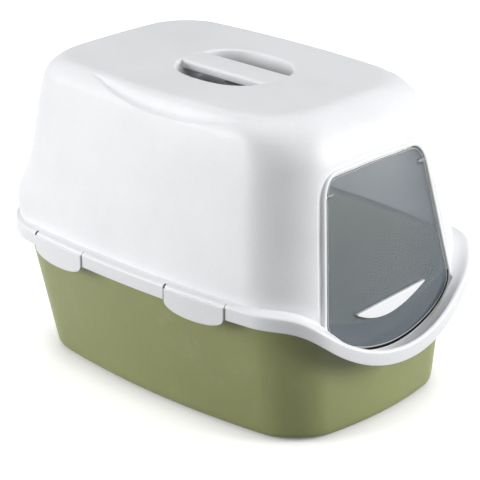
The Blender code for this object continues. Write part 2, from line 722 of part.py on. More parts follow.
def main():
    clear_scene()
    parts = make_collection("hooded_litter_box")
    tools = make_collection("cutters")
    white = make_material("white_plastic", WHITE, 0.42)
    green = make_material("green_plastic", GREEN, 0.38)
    smoke = make_material("smoked_clear_plastic", SMOKE, 0.10, 0.45)
    charcoal = make_material("charcoal_felt", BLACK, 0.95)
    make_tray(parts, green)
    make_feet(parts, make_material("rubber", DARK_RUBBER, 0.80))
    hood = make_hood(parts, tools, white)
    pins = make_pins(parts, make_material("pin_white", WHITE, 0.40))
    lifted = hang_on("hood_lift", (0.0, 0.0, TRAY_TOP), [hood] + pins, parts)
    door = make_door(parts, tools, smoke)
    grip = make_grip(parts, make_material("grip_white", WHITE, 0.35))
    hinges = [hang_on("door_hinge", hinge_axis(), (door, grip), parts)]
    clip_white = make_material("clip_white", WHITE, 0.42)
    for side, side_name in ((-1, "left"), (1, "right")):
        for end_name, centre_y in CLIP_CENTRES.items():
            label = end_name + "_" + side_name
            clip = make_clip("clip_" + label, side, centre_y, parts, clip_white)
            bend = (side * edge_point_x(RIM, centre_y), centre_y, CLIP_TOP)
            hinges.append(hang_on("clip_bend_" + label, bend, (clip,), parts))
    hinges.append(make_filter(parts, tools, charcoal, make_material("cover_white", WHITE, 0.45)))
    for hinge in hinges:
        hinge.parent = lifted
        hinge.matrix_parent_inverse = Matrix.Translation(-lifted.location)
    bpy.context.view_layer.update()


main()
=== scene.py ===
"""The looks of a hooded cat litter box: olive tray, white hood, smoked swing door, clips, filter.

Metres. +X is the width, -Y the front, +Z up. The shells repeat the CAD model's formulas with a finer mesh,
rounded edges, a scoop along each long side, a groove over the doorway and a hollow behind the front lip.
"""
import math
from collections import namedtuple

import bmesh
import bpy
import numpy as np
from mathutils import Matrix, Vector


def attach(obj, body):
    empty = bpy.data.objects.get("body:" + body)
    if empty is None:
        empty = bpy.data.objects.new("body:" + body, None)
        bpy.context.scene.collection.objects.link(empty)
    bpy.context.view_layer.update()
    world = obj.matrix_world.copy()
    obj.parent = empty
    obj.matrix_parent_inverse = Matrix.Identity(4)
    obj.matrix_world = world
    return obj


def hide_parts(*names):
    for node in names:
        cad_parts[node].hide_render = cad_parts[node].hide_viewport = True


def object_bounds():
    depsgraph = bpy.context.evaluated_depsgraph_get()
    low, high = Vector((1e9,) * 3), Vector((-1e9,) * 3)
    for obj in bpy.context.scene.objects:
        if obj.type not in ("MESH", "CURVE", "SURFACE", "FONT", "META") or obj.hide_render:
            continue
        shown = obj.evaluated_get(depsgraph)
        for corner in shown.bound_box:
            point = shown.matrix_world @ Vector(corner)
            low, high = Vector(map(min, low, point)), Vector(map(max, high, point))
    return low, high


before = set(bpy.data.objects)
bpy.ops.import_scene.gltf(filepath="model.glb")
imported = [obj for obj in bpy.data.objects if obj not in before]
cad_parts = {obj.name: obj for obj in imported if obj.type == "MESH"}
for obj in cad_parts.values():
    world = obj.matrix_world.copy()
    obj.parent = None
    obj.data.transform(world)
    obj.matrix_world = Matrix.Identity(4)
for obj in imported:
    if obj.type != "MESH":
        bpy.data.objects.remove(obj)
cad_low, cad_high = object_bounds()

# ---------------------------------------------------------------- the CAD model's dimensions
LENGTH, WIDTH, HEIGHT = (cad_high - cad_low).yxz
WALL = 0.0025
SKIRT_BOTTOM = 0.1665
SKIRT_HEIGHT = 0.0190
SKIRT_DIP_BOTTOM = 0.0920
SKIRT_DIP_RADIUS = 0.190
SKIRT_EDGE = 0.0034
SHELF_HEIGHT = 0.1868            # lower than in the CAD model, so the shelf is flat
LIP_FOOT_RISE = 0.006
LEAN = math.radians(9.0)
DOOR_REF_Y = -0.2437
DOOR_REF_Z = 0.190
DOOR_THICK = 0.0022
DOOR_CLEARANCE = 0.0020
GAP = 0.0003
HINGE_Z = 0.308
PIN_RADIUS = 0.0018
DOOR_TOP = 0.3285
DOOR_BOTTOM = 0.1070
DOOR_HALF_TOP = 0.0880
DOOR_HALF_WIDE = 0.1095
DOOR_CORNER_Z = 0.301
DOOR_WIDE_Z = 0.163
WELL_Y = 0.0075
WELL_HALF_X = 0.0625
WELL_HALF_Y = 0.073
WELL_DEPTH = 0.030
WELL_SQUARENESS = 2.5
BRIDGE_HALF_X = 0.0220
TRAY_TOP = 0.1830
TRAY_SILL = 0.1420
TRAY_SILL_RADIUS = 0.31
FLOOR_UNDERSIDE = 0.0030
GRIP_HALF_X = 0.062
GRIP_TOP = 0.1625
GRIP_SLANT = 0.0030
GRIP_DEPTH = 0.0190
GRIP_TIP = 0.0015
GRIP_THICK = 0.0050
CLIP_LENGTH = 0.092
CLIP_DROP = 0.0135
CLIP_TOP = 0.1825
CLIP_CENTRES = {"front": -0.113, "rear": 0.1265}

Section = namedtuple("Section", "half_width front rear r_front r_rear bow_side bow_front bow_rear")
FINE = (18, 14, 40, 16, 44)      # points along rear edge, rear corner, side, front corner, front edge

RIM = Section(WIDTH / 2, -LENGTH / 2, LENGTH / 2, 0.055, 0.086, 0.022, 0.033, 0.0065)
TRAY_LOW = Section(0.157, -0.2410, 0.2384, 0.045, 0.054, 0.0216, 0.0183, 0.0067)
TRAY_HIGH = Section(0.1800, -0.2385, 0.2700, 0.0540, 0.068, 0.0210, 0.0065, 0.0067)
TRAY_FLANGE = Section(0.1945, -0.2480, 0.2785, 0.0800, 0.080, 0.0220, 0.0095, 0.0065)
WALL_KEYS = [                    # height, half_width, rear, r_front, r_rear, bow_side
    (0.180, 0.1879, 0.2790, 0.070, 0.075, 0.0185),
    (0.215, 0.1815, 0.2780, 0.070, 0.062, 0.0155),
    (0.240, 0.1768, 0.2695, 0.070, 0.064, 0.0160),
    (0.270, 0.1710, 0.2605, 0.069, 0.063, 0.0160),
    (0.310, 0.1632, 0.2545, 0.068, 0.057, 0.0155),
    (0.350, 0.1553, 0.2500, 0.067, 0.054, 0.0145),
    (0.370, 0.1510, 0.2450, 0.066, 0.053, 0.0140),
]
CROWN_START = 0.370
CROWN_IN_SIDE = 0.026
CROWN_IN_REAR = 0.028
CROWN_LEAN_SIDE = 0.215          # the walls' slope carries on into the crown
CROWN_LEAN_REAR = 0.25
FRONT_CROWN_START = 0.340
FRONT_CROWN_IN = 0.052


# ---------------------------------------------------------------- outlines
def bezier(p0, p1, p2, p3, t):
    """A point on a cubic curve."""
    s = 1.0 - t
    return p0 * s ** 3 + p1 * (3 * s * s * t) + p2 * (3 * s * t * t) + p3 * t ** 3


def edge_point_x(section, y):
    """Half the outline's width at Y, on its bowed side."""
    low = section.front + section.bow_front
    high = section.rear - section.bow_rear
    t = (y - low) / (high - low)
    return section.half_width - section.bow_side * (2.0 * t - 1.0) ** 2


def corner_curve(start, start_dir, end, end_dir, radius, count):
    """Points of a rounded corner, without its end point."""
    reach = 0.55 * radius
    first = start + start_dir.normalized() * reach
    second = end - end_dir.normalized() * reach
    return [bezier(start, first, second, end, i / count) for i in range(count)]


def half_outline(section, counts=FINE):
    """Points from the middle of the rear, round the +X side, to the middle of the front, as an array."""
    n_rear, n_rear_corner, n_side, n_front_corner, n_front = counts
    corner_x = section.half_width - section.bow_side
    rear_y = section.rear - section.bow_rear
    front_y = section.front + section.bow_front
    span = rear_y - front_y

    def rear_edge(x):
        return Vector((x, section.rear - section.bow_rear * (x / corner_x) ** 2))

    def front_edge(x):
        return Vector((x, section.front + section.bow_front * (x / corner_x) ** 2))

    def side_edge(y):
        return Vector((edge_point_x(section, y), y))

    def side_direction(y):
        t = (y - front_y) / span
        return Vector((4.0 * section.bow_side * (2.0 * t - 1.0) / span, -1.0))

    rear_x = corner_x - section.r_rear
    front_x = corner_x - section.r_front
    top_y = rear_y - section.r_rear
    low_y = front_y + section.r_front
    points = [rear_edge(rear_x * i / n_rear) for i in range(n_rear)]
    rear_slope = Vector((1.0, -2.0 * section.bow_rear * rear_x / corner_x ** 2))
    points += corner_curve(rear_edge(rear_x), rear_slope, side_edge(top_y), side_direction(top_y),
                           section.r_rear, n_rear_corner)
    points += [side_edge(top_y + (low_y - top_y) * i / n_side) for i in range(n_side)]
    front_slope = Vector((-1.0, -2.0 * section.bow_front * front_x / corner_x ** 2))
    points += corner_curve(side_edge(low_y), side_direction(low_y), front_edge(front_x), front_slope,
                           section.r_front, n_front_corner)
    points += [front_edge(front_x * (1.0 - i / n_front)) for i in range(n_front + 1)]
    return np.array([tuple(p) for p in points])


def inset_of(section, inset):
    """The same outline, smaller all round."""
    return section._replace(half_width=section.half_width - inset, front=section.front + inset,
                            rear=section.rear - inset)


def blend_sections(a, b, t):
    """An outline between two others."""
    return Section(*(p + (q - p) * t for p, q in zip(a, b)))


def dipped(xy, level, bottom, radius, sharpness):
    """Height of an edge that is level all round and sinks to an arc at the middle of the front."""
    x, y = xy[:, 0], xy[:, 1]
    inside = (y < 0.0) & (np.abs(x) < 0.97 * radius)
    arc = bottom + radius - np.sqrt(np.maximum(radius * radius - x * x, 0.0))
    low = np.minimum(arc, level)
    soft = low - np.log(np.exp(-sharpness * (arc - low)) + np.exp(-sharpness * (level - low))) / sharpness
    return np.where(inside, soft, level)


def skirt_bottom(xy):
    """Height of the hood skirt's lower edge."""
    return dipped(xy, SKIRT_BOTTOM, SKIRT_DIP_BOTTOM, SKIRT_DIP_RADIUS, 80.0)


def tray_edge(xy):
    """Height of the tray's rim."""
    return dipped(xy, TRAY_TOP, TRAY_SILL, TRAY_SILL_RADIUS, 150.0)


def front_plane_y(z):
    """Y of the leaning front plane at a height."""
    return DOOR_REF_Y + (z - DOOR_REF_Z) * math.tan(LEAN)


def quarter_round(z, start):
    """How far a rounded crown has closed at a height, from 0 to 1."""
    rise = max(0.0, min(1.0, (z - start) / (HEIGHT - start)))
    return 1.0 - math.sqrt(1.0 - rise * rise)


def smooth_keys(z):
    """The wall's values at a height, on a smooth curve through the keys."""
    z = min(max(z, WALL_KEYS[0][0]), CROWN_START)
    index = 0
    while index < len(WALL_KEYS) - 2 and z > WALL_KEYS[index + 1][0]:
        index += 1
    around = [WALL_KEYS[min(max(index + k, 0), len(WALL_KEYS) - 1)] for k in (-1, 0, 1, 2)]
    before, low, high, after = (np.array(k) for k in around)
    width = high[0] - low[0]
    slope_low = (high - before) / (high[0] - before[0])
    slope_high = (after - low) / (after[0] - low[0])
    t = (z - low[0]) / width
    return (low * (1 + 2 * t) * (1 - t) ** 2 + slope_low * width * t * (1 - t) ** 2
            + high * t * t * (3 - 2 * t) - slope_high * width * t * t * (1 - t))[1:]


def wall_section(z):
    """The hood's outline at a height."""
    half_width, rear, r_front, r_rear, bow_side = smooth_keys(z)
    over = max(z - CROWN_START, 0.0)
    full = HEIGHT - CROWN_START
    crown = quarter_round(z, CROWN_START)
    half_width -= CROWN_LEAN_SIDE * over + (CROWN_IN_SIDE - CROWN_LEAN_SIDE * full) * crown
    rear -= CROWN_LEAN_REAR * over + (CROWN_IN_REAR - CROWN_LEAN_REAR * full) * crown
    front_in = FRONT_CROWN_IN - math.tan(LEAN) * (HEIGHT - FRONT_CROWN_START)
    front = front_plane_y(z) + front_in * quarter_round(z, FRONT_CROWN_START)
    return Section(half_width, front, rear, r_front, r_rear, bow_side, 0.0, 0.0065)


def row(xy, z):
    """A row of the half shell: plan points with one height, or a height for each point."""
    return np.column_stack([xy, np.broadcast_to(z, len(xy))])


def wall_row(heights):
    """The hood's wall where each column has its own height."""
    return np.array([(*half_outline(wall_section(z))[i], z) for i, z in enumerate(heights)])


def smoothstep(low, high, value):
    """An eased step from 0 at low to 1 at high."""
    t = np.clip((value - low) / (high - low), 0.0, 1.0)
    return t * t * (3.0 - 2.0 * t)


# ---------------------------------------------------------------- the hood's outer face
SCOOP_MIDDLE_Y = -0.015
SCOOP_HALF_LENGTH = 0.142
SCOOP_DEPTH = 0.0070
SCOOP_ANGLES = (math.radians(9.0), math.radians(66.0))     # along the crown's quarter circle
CROWN_STEPS = 34
CHANNEL_DEPTH = 0.0004           # between the skirt's top and the wall's foot
WELL_EDGE = 0.0034


def scooped(points, angle):
    """A lens-shaped hollow pressed into the crown along each long side."""
    half = 1.0 - ((points[:, 1] - SCOOP_MIDDLE_Y) / SCOOP_HALF_LENGTH) ** 2
    half = np.clip(half, 0.0, 1.0)
    low, high = SCOOP_ANGLES
    across = (high - angle) / ((high - low) * np.maximum(half, 1e-6))
    inside = (half > 0.0) & (across > 0.0) & (across < 1.0)
    q = np.clip(across, 0.0, 1.0)
    press = SCOOP_DEPTH * half ** 0.8 * 2.1 * q ** 1.3 * (1.0 - q) ** 0.45
    press = np.where(inside, press, 0.0)
    inward = np.column_stack([-np.full(len(points), math.cos(angle)), np.zeros(len(points)),
                              -np.full(len(points), math.sin(angle))])
    return points + inward * press[:, None]


def oval_row(angles, inset, depth):
    """The handle well's outline at a depth, at the given angles seen from its middle."""
    power = 2.0 / WELL_SQUARENESS
    across = np.sin(angles).clip(0.0) ** power
    along = np.sign(np.cos(angles)) * np.abs(np.cos(angles)) ** power
    xy = np.column_stack([(WELL_HALF_X - inset) * across, WELL_Y + (WELL_HALF_Y - inset) * along])
    return row(xy, HEIGHT - depth)


def hood_rows():
    """Rows of the hood's outer face: skirt, shelf, wall, crown, top and handle well."""
    rim = half_outline(RIM)
    bottoms = skirt_bottom(rim)
    dips = (SKIRT_BOTTOM - bottoms) / (SKIRT_BOTTOM - SKIRT_DIP_BOTTOM)
    shelf = SHELF_HEIGHT - SKIRT_BOTTOM
    feet = bottoms + shelf + (LIP_FOOT_RISE - shelf) * dips
    top = bottoms + SKIRT_HEIGHT
    rows = [row(rim, bottoms + rise) for rise in (0.0010, 0.0030, 0.0070, 0.0115)]
    for degrees in (0, 18, 36, 54, 72, 90):
        angle = math.radians(degrees)
        edge = half_outline(inset_of(RIM, SKIRT_EDGE * (1.0 - math.cos(angle))))
        rows.append(row(edge, top - SKIRT_EDGE * (1.0 - math.sin(angle))))
    edge = half_outline(inset_of(RIM, SKIRT_EDGE))
    foot = wall_row(feet)
    for share in (0.14, 0.28, 0.42, 0.56, 0.70, 0.82, 0.92):
        hollow = (0.0040 * dips + CHANNEL_DEPTH) * math.sin(math.pi * share ** 1.1)
        xy = edge + (foot[:, :2] - edge) * share
        rows.append(row(xy, top + (feet - top) * share - hollow))
    start = 0.222
    for share in (0.0, 0.06, 0.14, 0.26, 0.42, 0.62, 0.82):
        rows.append(wall_row(feet + (start - feet) * share))
    levels = [start + (FRONT_CROWN_START - start) * i / 12 for i in range(12)]
    crown_height = HEIGHT - FRONT_CROWN_START
    levels += [FRONT_CROWN_START + crown_height * math.sin(math.radians(degrees))
               for degrees in (0, 5, 10, 15, 20, 25, 29)]
    rows += [row(half_outline(wall_section(z)), z) for z in levels]
    for i in range(1, CROWN_STEPS + 1):
        angle = math.pi / 2 * i / CROWN_STEPS
        z = CROWN_START + (HEIGHT - CROWN_START) * math.sin(angle)
        rows.append(scooped(row(half_outline(wall_section(z)), z), angle))
    brim = rows[-1][:, :2]
    angles = np.arctan2(brim[:, 0] / WELL_HALF_X, (brim[:, 1] - WELL_Y) / WELL_HALF_Y)
    angles[0], angles[-1] = 0.0, math.pi
    outer = oval_row(angles, -WELL_EDGE, 0.0)[:, :2]
    for share in (0.12, 0.26, 0.42, 0.58, 0.74, 0.88, 0.96):
        rows.append(row(brim + (outer - brim) * share, HEIGHT))
    for degrees in (0, 18, 36, 54, 72, 90):
        angle = math.radians(degrees)
        inset = -WELL_EDGE * (1.0 - math.sin(angle))
        depth = WELL_EDGE * (1.0 - math.cos(angle))
        rows.append(oval_row(angles, inset, depth))
    for inset, depth in ((0.0014, 0.0085), (0.0032, 0.0150), (0.0052, 0.0210), (0.0066, 0.0250),
                         (0.0080, 0.0280), (0.0103, 0.0296), (0.0140, WELL_DEPTH), (0.030, WELL_DEPTH),
                         (0.048, WELL_DEPTH), (0.058, WELL_DEPTH)):
        rows.append(oval_row(angles, inset, depth))
    return rows


def tray_rows():
    """From the rim flange down the wall to the floor, outer face."""
    top = half_outline(TRAY_HIGH)
    edges = tray_edge(top)
    under = edges - WALL
    rows = []
    for share in (1.0, 0.93, 0.8, 0.6, 0.42, 0.3):
        rows.append(row(half_outline(blend_sections(TRAY_HIGH, TRAY_FLANGE, share)), under - 0.0006 * share))
    fillet = 0.0045
    base = half_outline(blend_sections(TRAY_HIGH, TRAY_FLANGE, 0.3)) - top
    for degrees in (25, 45, 65, 90):
        angle = math.radians(degrees)
        rows.append(row(top + base * (1.0 - math.sin(angle)), under - fillet * (1.0 - math.cos(angle))))
    foot = 0.0105
    start = FLOOR_UNDERSIDE + foot
    count = 14
    for i in range(1, count + 1):
        share = 1.0 - i / count
        xy = half_outline(blend_sections(TRAY_LOW, TRAY_HIGH, share))
        rows.append(row(xy, start + (under - fillet - start) * share))
    for degrees in (15, 30, 45, 60, 75, 90):
        angle = math.radians(degrees)
        xy = half_outline(inset_of(TRAY_LOW, 0.0118 * (1.0 - math.cos(angle))))
        rows.append(row(xy, start - foot * math.sin(angle)))
    last = rows[-1][:, :2]
    middle = np.array([0.0, 0.0])
    for share in (0.25, 0.5, 0.75, 0.92):
        rows.append(row(last + (middle - last) * share, FLOOR_UNDERSIDE))
    return rows


# ---------------------------------------------------------------- mesh helpers
def new_object(name, mesh, material=None):
    """An object in the scene, with its material."""
    item = bpy.data.objects.new(name, mesh)
    bpy.context.scene.collection.objects.link(item)
    if material is not None:
        mesh.materials.append(material)
    return item


def shell(name, half_rows, thickness):
    """A closed wall from the rows of one face: the first row is the open rim, the last is capped.

    The wall is grown inwards on the hood and outwards on the tray.
    """
    half = np.array(half_rows)
    mirror = half[:, -2:0:-1] * np.array([-1.0, 1.0, 1.0])
    outer = np.concatenate([half, mirror], axis=1)
    n_cols = outer.shape[1]
    along = np.roll(outer, -1, axis=1) - np.roll(outer, 1, axis=1)
    down = np.gradient(outer, axis=0)
    normals = np.cross(along, down)
    normals /= np.maximum(np.linalg.norm(normals, axis=2), 1e-12)[:, :, None]
    side = FINE[0] + FINE[1] + FINE[2] // 2
    if normals[4, side, 0] < 0.0:
        normals = -normals
    inner = outer - normals * thickness
    rim = []
    middle = (outer[0] + inner[0]) / 2
    outward = (outer[0] - inner[0]) / 2
    flow = outer[0] - outer[1]
    flow = flow / np.linalg.norm(flow, axis=1)[:, None] * 0.0009
    for degrees in (30, 65, 115, 150):
        angle = math.radians(degrees)
        squeeze = math.copysign(abs(math.cos(angle)) ** 0.6, math.cos(angle))
        rim.append(middle + outward * squeeze + flow * math.sin(angle) ** 0.6)
    sheets = [inner[::-1], np.array(rim[::-1]), outer]
    points = np.concatenate(sheets, axis=0)
    total = points.shape[0]
    mesh = bpy.data.meshes.new(name)
    faces = []
    for r in range(total - 1):
        for c in range(n_cols):
            d = (c + 1) % n_cols
            faces.append((r * n_cols + c, r * n_cols + d, (r + 1) * n_cols + d, (r + 1) * n_cols + c))
    faces.append(tuple(range(n_cols - 1, -1, -1)))
    faces.append(tuple((total - 1) * n_cols + c for c in range(n_cols)))
    mesh.from_pydata(points.reshape(-1, 3).tolist(), [], faces)
    build = bmesh.new()
    build.from_mesh(mesh)
    bmesh.ops.recalc_face_normals(build, faces=build.faces)
    build.to_mesh(mesh)
    build.free()
    return mesh


def joined(meshes):
    """One mesh with all of the given meshes' bodies."""
    build = bmesh.new()
    for mesh in meshes:
        build.from_mesh(mesh)
    out = bpy.data.meshes.new("joined")
    build.to_mesh(out)
    build.free()
    return out


def combined(item, mesh, operation):
    """The item's mesh after an exact boolean with another mesh."""
    tool = new_object("tool", mesh)
    modifier = item.modifiers.new("boolean", "BOOLEAN")
    modifier.operation = operation
    modifier.solver = "EXACT"
    modifier.object = tool
    bpy.context.view_layer.update()
    evaluated = item.evaluated_get(bpy.context.evaluated_depsgraph_get())
    result = bpy.data.meshes.new_from_object(evaluated)
    item.modifiers.clear()
    item.data = result
    bpy.data.objects.remove(tool, do_unlink=True)
    return item


def box_mesh(low, high, bevel=0.0, segments=3):
    """A box between two corners, with rounded edges."""
    mesh = bpy.data.meshes.new("box")
    build = bmesh.new()
    bmesh.ops.create_cube(build, size=1.0)
    bmesh.ops.scale(build, vec=Vector(high) - Vector(low), verts=build.verts)
    bmesh.ops.translate(build, vec=(Vector(high) + Vector(low)) / 2, verts=build.verts)
    if bevel > 0.0:
        bmesh.ops.bevel(build, geom=build.edges[:], offset=bevel, segments=segments, profile=0.5,
                        affect="EDGES")
    build.to_mesh(mesh)
    build.free()
    return mesh


def plate_mesh(outline, back, front, place):
    """A plate of the outline's shape between two distances from its plane."""
    build = bmesh.new()
    rear = [build.verts.new(place(u, v, back)) for u, v in outline]
    face = [build.verts.new(place(u, v, front)) for u, v in outline]
    build.faces.new(rear)
    build.faces.new(face[::-1])
    count = len(outline)
    for i in range(count):
        j = (i + 1) % count
        build.faces.new((rear[i], face[i], face[j], rear[j]))
    bmesh.ops.recalc_face_normals(build, faces=build.faces)
    mesh = bpy.data.meshes.new("plate")
    build.to_mesh(mesh)
    build.free()
    return mesh


def swept(path, profile_at, closed=True):
    """A strip or tube: for each path index, profile_at gives a loop of points."""
    loops = [profile_at(i) for i in range(len(path))]
    build = bmesh.new()
    rings = [[build.verts.new(p) for p in loop] for loop in loops]
    size = len(rings[0])
    pairs = list(zip(rings, rings[1:] + rings[:1])) if closed else list(zip(rings, rings[1:]))
    for a, b in pairs:
        for i in range(size):
            j = (i + 1) % size
            build.faces.new((a[i], b[i], b[j], a[j]))
    if not closed:
        build.faces.new(rings[0])
        build.faces.new(rings[-1][::-1])
    bmesh.ops.recalc_face_normals(build, faces=build.faces)
    mesh = bpy.data.meshes.new("swept")
    build.to_mesh(mesh)
    build.free()
    return mesh


def smooth(item, degrees=32.0):
    """Smooth shading that keeps edges sharper than the angle."""
    item.data.shade_smooth()
    item.data.set_sharp_from_angle(angle=math.radians(degrees))
    return item


def soft_edges(item, width, segments=3, degrees=35.0):
    """Rounds the edges sharper than the angle."""
    modifier = item.modifiers.new("soft_edges", "BEVEL")
    modifier.width = width
    modifier.segments = segments
    modifier.limit_method = "ANGLE"
    modifier.angle_limit = math.radians(degrees)
    modifier.harden_normals = False
    return item


# ---------------------------------------------------------------- the door's plane
def on_door_plane(x, z, out):
    """A point at (x, z) on the door's plane, moved outwards."""
    return Vector((x, front_plane_y(z) - out * math.cos(LEAN), z + out * math.sin(LEAN)))


def door_half(grow=0.0, fine=4):
    """Half of the door's outline in (x, z), from the middle of the top to the middle of the bottom."""
    top = Vector((0.0, DOOR_TOP + grow))
    shoulder = Vector((DOOR_HALF_TOP * 0.76, DOOR_TOP - 0.0015 + grow))
    corner = Vector((DOOR_HALF_TOP + grow, DOOR_CORNER_Z))
    wide = Vector((DOOR_HALF_WIDE + grow, DOOR_WIDE_Z))
    bottom = Vector((0.0, DOOR_BOTTOM - grow))
    down = (wide - corner).normalized()
    n_top, n_corner, n_side, n_bottom = 4 * fine, 5 * fine, 6 * fine, 12 * fine
    points = [top.lerp(shoulder, i / n_top) for i in range(n_top)]
    reach = Vector((0.013 + grow / 2, 0.0))
    points += [bezier(shoulder, shoulder + reach, corner - down * 0.015, corner, i / n_corner)
               for i in range(n_corner)]
    points += [corner.lerp(wide, i / n_side) for i in range(n_side)]
    swing = down * 0.030
    points += [bezier(wide, wide + swing, bottom + Vector((0.052, 0.0)), bottom, i / n_bottom)
               for i in range(n_bottom + 1)]
    return points


def mirrored_loop(half):
    """A closed (x, z) loop from its +X half."""
    return [Vector((p[0], p[1])) for p in half] + [Vector((-p[0], p[1])) for p in reversed(half[1:-1])]


def outward_normals(loop):
    """Unit normals of a closed (x, z) loop, pointing away from its inside."""
    middle = sum(loop, Vector((0.0, 0.0))) / len(loop)
    normals = []
    for i, point in enumerate(loop):
        tangent = loop[(i + 1) % len(loop)] - loop[i - 1]
        normal = Vector((tangent[1], -tangent[0])).normalized()
        normals.append(normal if normal.dot(point - middle) > 0 else -normal)
    return normals


def hinge_axis():
    """The middle of the door's hinge line."""
    return on_door_plane(0.0, HINGE_Z, -DOOR_THICK / 2 - GAP)


# ---------------------------------------------------------------- materials
def ramp(nodes, links, source, stops):
    """A colour ramp on a value; each stop is (position, colour)."""
    node = nodes.new("ShaderNodeValToRGB")
    elements = node.color_ramp.elements
    while len(elements) < len(stops):
        elements.new(0.5)
    for element, (position, colour) in zip(elements, stops):
        element.position = position
        element.color = (*colour, 1.0) if isinstance(colour, tuple) else (colour, colour, colour, 1.0)
    links.new(source, node.inputs["Fac"])
    return node.outputs["Color"]


def noise(nodes, links, coordinates, scale, detail, roughness=0.55, stretch=None):
    """A noise texture in object space; stretch scales the axes for brushed marks."""
    if stretch is not None:
        mapping = nodes.new("ShaderNodeMapping")
        mapping.inputs["Scale"].default_value = stretch
        links.new(coordinates, mapping.inputs["Vector"])
        coordinates = mapping.outputs["Vector"]
    node = nodes.new("ShaderNodeTexNoise")
    node.inputs["Scale"].default_value = scale
    node.inputs["Detail"].default_value = detail
    node.inputs["Roughness"].default_value = roughness
    links.new(coordinates, node.inputs["Vector"])
    return node.outputs["Fac"]


def mixed(nodes, links, factor, a, b, blend="MIX"):
    """A colour mix; a and b are sockets or colours, factor is a socket or a number."""
    node = nodes.new("ShaderNodeMix")
    node.data_type = "RGBA"
    node.blend_type = blend
    for socket, value in ((node.inputs[0], factor), (node.inputs[6], a), (node.inputs[7], b)):
        if isinstance(value, bpy.types.NodeSocket):
            links.new(value, socket)
        elif isinstance(value, tuple):
            socket.default_value = (*value, 1.0)
        else:
            socket.default_value = value
    return node.outputs[2]


def shade(colour, factor):
    """A colour made lighter or darker."""
    return tuple(min(1.0, c * factor) for c in colour)


def moulded_plastic(name, colour, roughness, grain_mm=0.9, grain=0.16, cloud=0.05, wear=None, dust=None,
                    depth_shade=None):
    """Injection-moulded plastic: cloudy pigment, spark-eroded grain, fine scuffs, rubbed edges and dust.

    depth_shade stands in for the shade in a deep recess. It is painted on the plastic: the height where it
    starts, the height where it is full, and the share of the tone that is left there.
    """
    material = bpy.data.materials.new(name)
    material.use_nodes = True
    nodes, links = material.node_tree.nodes, material.node_tree.links
    surface = nodes["Principled BSDF"]
    place = nodes.new("ShaderNodeTexCoord").outputs["Object"]
    broad = noise(nodes, links, place, 7.0, 4.0)
    darker, lighter = shade(colour, 1.0 - cloud), shade(colour, 1.0 + cloud * 0.5)
    tone = ramp(nodes, links, broad, [(0.30, darker), (0.70, lighter)])
    fleck = noise(nodes, links, place, 420.0, 2.0)
    flecked = ramp(nodes, links, fleck, [(0.34, 0.965), (0.60, 1.0)])
    tone = mixed(nodes, links, 0.8, tone, flecked, "MULTIPLY")
    if dust is not None:
        patch = noise(nodes, links, place, 26.0, 6.0, 0.7)
        tone = mixed(nodes, links, ramp(nodes, links, patch, [(0.56, 0.0), (0.80, 0.22)]), tone, dust)
    if wear is not None:
        edge = nodes.new("ShaderNodeNewGeometry").outputs["Pointiness"]
        rub = ramp(nodes, links, edge, [(0.52, 0.0), (0.60, 0.45)])
        tone = mixed(nodes, links, rub, tone, wear)
    if depth_shade is not None:
        start, full, left = depth_shade
        split = nodes.new("ShaderNodeSeparateXYZ")
        links.new(place, split.inputs[0])
        span = nodes.new("ShaderNodeMapRange")
        span.inputs["From Min"].default_value = full
        span.inputs["From Max"].default_value = start
        links.new(split.outputs["Z"], span.inputs["Value"])
        # painted shade: the tone falls from full at the start height to the share left at the full height
        painted_depth_shade = ramp(nodes, links, span.outputs["Result"], [(0.0, left), (1.0, 1.0)])
        tone = mixed(nodes, links, 1.0, tone, painted_depth_shade, "MULTIPLY")
    links.new(tone, surface.inputs["Base Color"])
    scuff = noise(nodes, links, place, 60.0, 5.0, 0.65, (1.0, 6.0, 1.0))
    rough = ramp(nodes, links, scuff, [(0.35, roughness - 0.05), (0.68, roughness + 0.09)])
    links.new(rough, surface.inputs["Roughness"])
    fine = noise(nodes, links, place, 1000.0 / grain_mm, 2.0)
    wave = noise(nodes, links, place, 14.0, 2.0)
    soft_bump = nodes.new("ShaderNodeBump")
    soft_bump.inputs["Strength"].default_value = 0.10
    soft_bump.inputs["Distance"].default_value = 0.002
    links.new(wave, soft_bump.inputs["Height"])
    bump = nodes.new("ShaderNodeBump")
    bump.inputs["Strength"].default_value = grain
    bump.inputs["Distance"].default_value = 0.00018
    links.new(fine, bump.inputs["Height"])
    links.new(soft_bump.outputs["Normal"], bump.inputs["Normal"])
    links.new(bump.outputs["Normal"], surface.inputs["Normal"])
    return material


def felt_material(name, colour):
    """Needled charcoal felt: matted fibres with a soft sheen."""
    material = bpy.data.materials.new(name)
    material.use_nodes = True
    nodes, links = material.node_tree.nodes, material.node_tree.links
    surface = nodes["Principled BSDF"]
    place = nodes.new("ShaderNodeTexCoord").outputs["Object"]
    fibre = noise(nodes, links, place, 650.0, 6.0, 0.8, (1.0, 3.0, 1.0))
    clump = noise(nodes, links, place, 90.0, 3.0)
    tone = ramp(nodes, links, fibre, [(0.35, shade(colour, 0.5)), (0.65, shade(colour, 2.2))])
    tone = mixed(nodes, links, 0.5, tone, ramp(nodes, links, clump, [(0.3, 0.6), (0.7, 1.0)]), "MULTIPLY")
    links.new(tone, surface.inputs["Base Color"])
    surface.inputs["Roughness"].default_value = 0.95
    surface.inputs["Sheen Weight"].default_value = 0.25
    bump = nodes.new("ShaderNodeBump")
    bump.inputs["Strength"].default_value = 0.8
    bump.inputs["Distance"].default_value = 0.0006
    links.new(fibre, bump.inputs["Height"])
    links.new(bump.outputs["Normal"], surface.inputs["Normal"])
    return material


